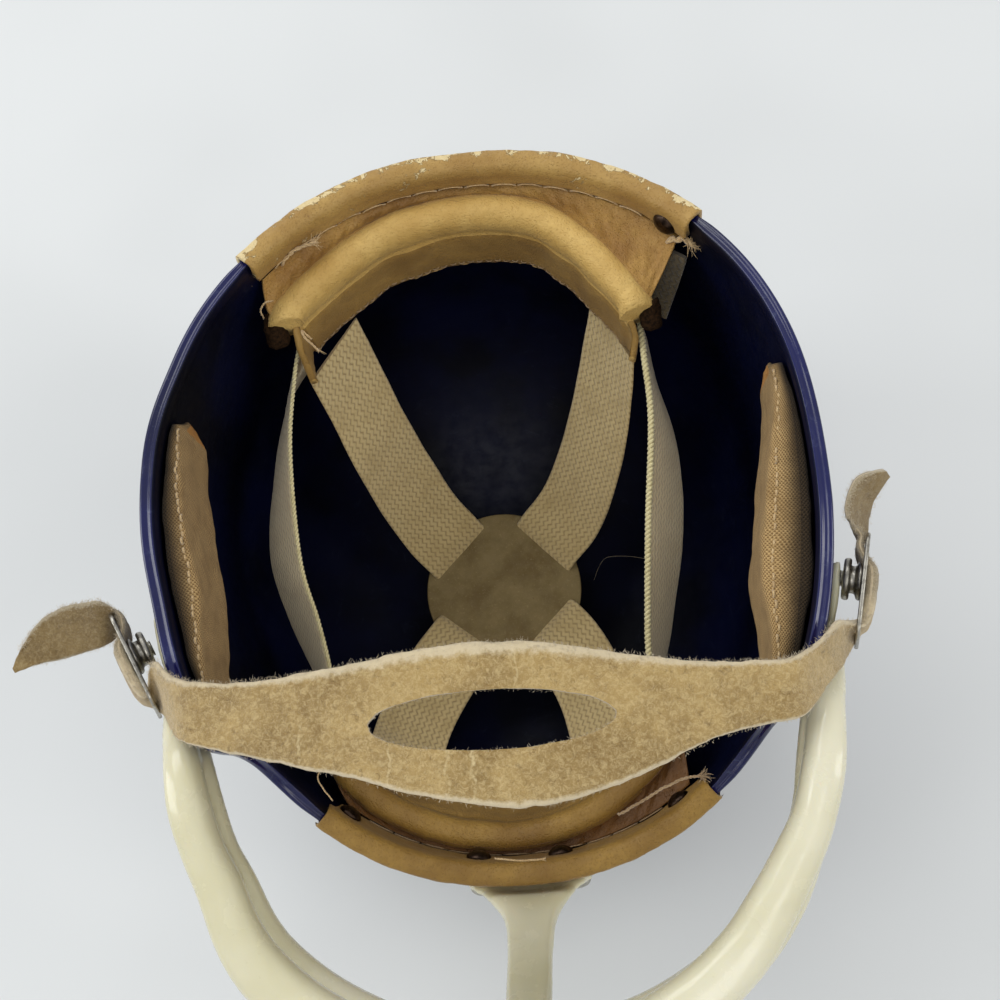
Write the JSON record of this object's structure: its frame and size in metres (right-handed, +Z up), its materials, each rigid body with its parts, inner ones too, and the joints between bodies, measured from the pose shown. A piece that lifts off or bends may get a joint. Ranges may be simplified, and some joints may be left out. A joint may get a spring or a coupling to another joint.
{
  "type": "football helmet",
  "caption": "Glossy plastic football helmet lying upside down: leather-bound rim and sweatbands, webbing suspension with a fibre crown disc, moulded face mask and leather chin strap.",
  "frame": {"origin": "centre of the bounding box at the surface that the helmet lies on", "axes": "+Z up; the helmet lies upside down, so its crown is at the bottom and its opening looks up; -Y towards the forehead and face mask, +Y towards the nape, +X towards the wearer's right side"},
  "size_m": [0.2688, 0.2992, 0.1928],
  "materials": {
    "shell_plastic": "glossy navy blue, scuffed along the rim",
    "leather": "tan leather, worn at the folds",
    "dark_leather": "brown creased leather",
    "fibre": "olive-tan pressed fibre, bare",
    "webbing": "cream and khaki herringbone cotton webbing",
    "canvas": "twill canvas with a stitched seam",
    "suede": "rough suede side with pale fuzzy edges",
    "mask_plastic": "glossy ivory, slightly translucent",
    "nickel": "dull nickel plate with dark scratches",
    "bronze": "dark brown varnished rivets"
  },
  "bodies": {
    "root": {"shell": "shell_plastic", "nape_binding": "leather", "brow_binding": "leather", "nape_sweatband": "leather", "brow_sweatband": "leather", "nape_gusset": "dark_leather", "brow_gusset": "dark_leather", "crown_disc": "fibre", "crown_strap_a": "webbing", "crown_strap_b": "webbing", "side_strap_left": "webbing", "side_strap_right": "webbing", "nape_tape_right": "webbing", "jaw_pad_left": "canvas", "jaw_pad_right": "canvas", "face_mask": "mask_plastic", "chin_strap": "suede", "slide_left": "nickel", "slide_right": "nickel", "snap_stud_left": "nickel", "snap_stud_right": "nickel", "brow_rivet_1": "bronze", "brow_rivet_2": "bronze", "brow_rivet_3": "bronze", "brow_rivet_4": "bronze", "nape_rivet": "bronze", "mask_screw_left": "nickel", "mask_screw_right": "nickel"}
  },
  "joints": []
}
